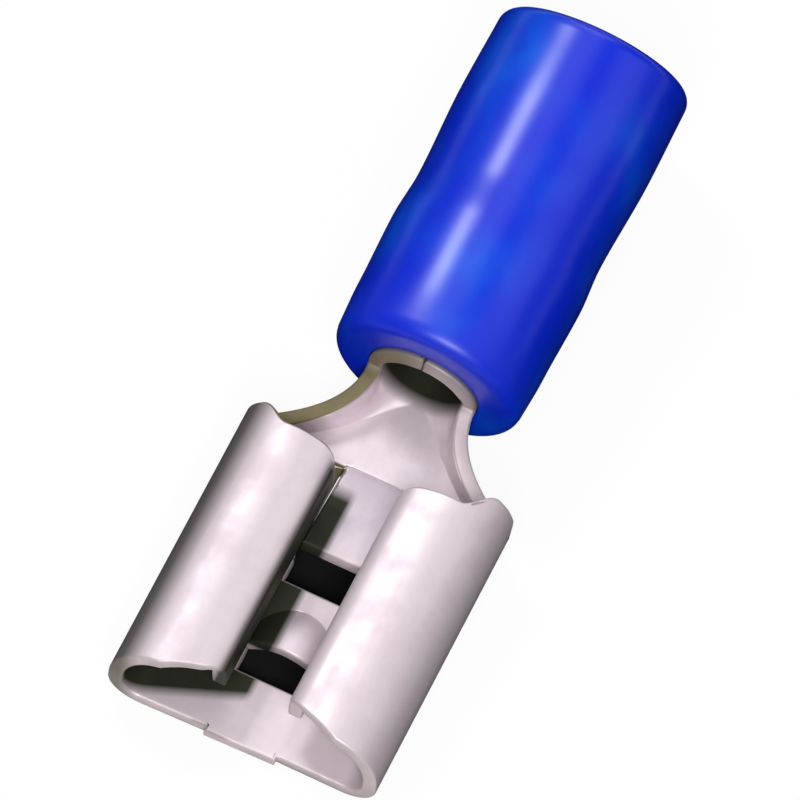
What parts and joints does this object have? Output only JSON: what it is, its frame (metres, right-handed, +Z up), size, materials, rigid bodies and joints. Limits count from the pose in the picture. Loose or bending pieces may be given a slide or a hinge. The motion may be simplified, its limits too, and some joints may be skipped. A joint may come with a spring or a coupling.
{
  "type": "female spade terminal",
  "caption": "Push-on female spade terminal: rolled receptacle for a flat tab, short neck, round wire barrel and a blue insulating sleeve.",
  "frame": {"origin": "middle of the floor's underside at the front edge of the receptacle, where the tab goes in", "axes": "+X from the mouth to the wire end, +Z up from the floor through the gap between the curls, +Y to the left seen from above with the wire end up"},
  "size_m": [0.0219, 0.0076, 0.0055],
  "materials": {
    "tinned_brass": "satin",
    "blue_sleeve": "satin"
  },
  "bodies": {
    "root": {"terminal_body": "tinned_brass", "insulating_sleeve": "blue_sleeve"}
  },
  "joints": []
}
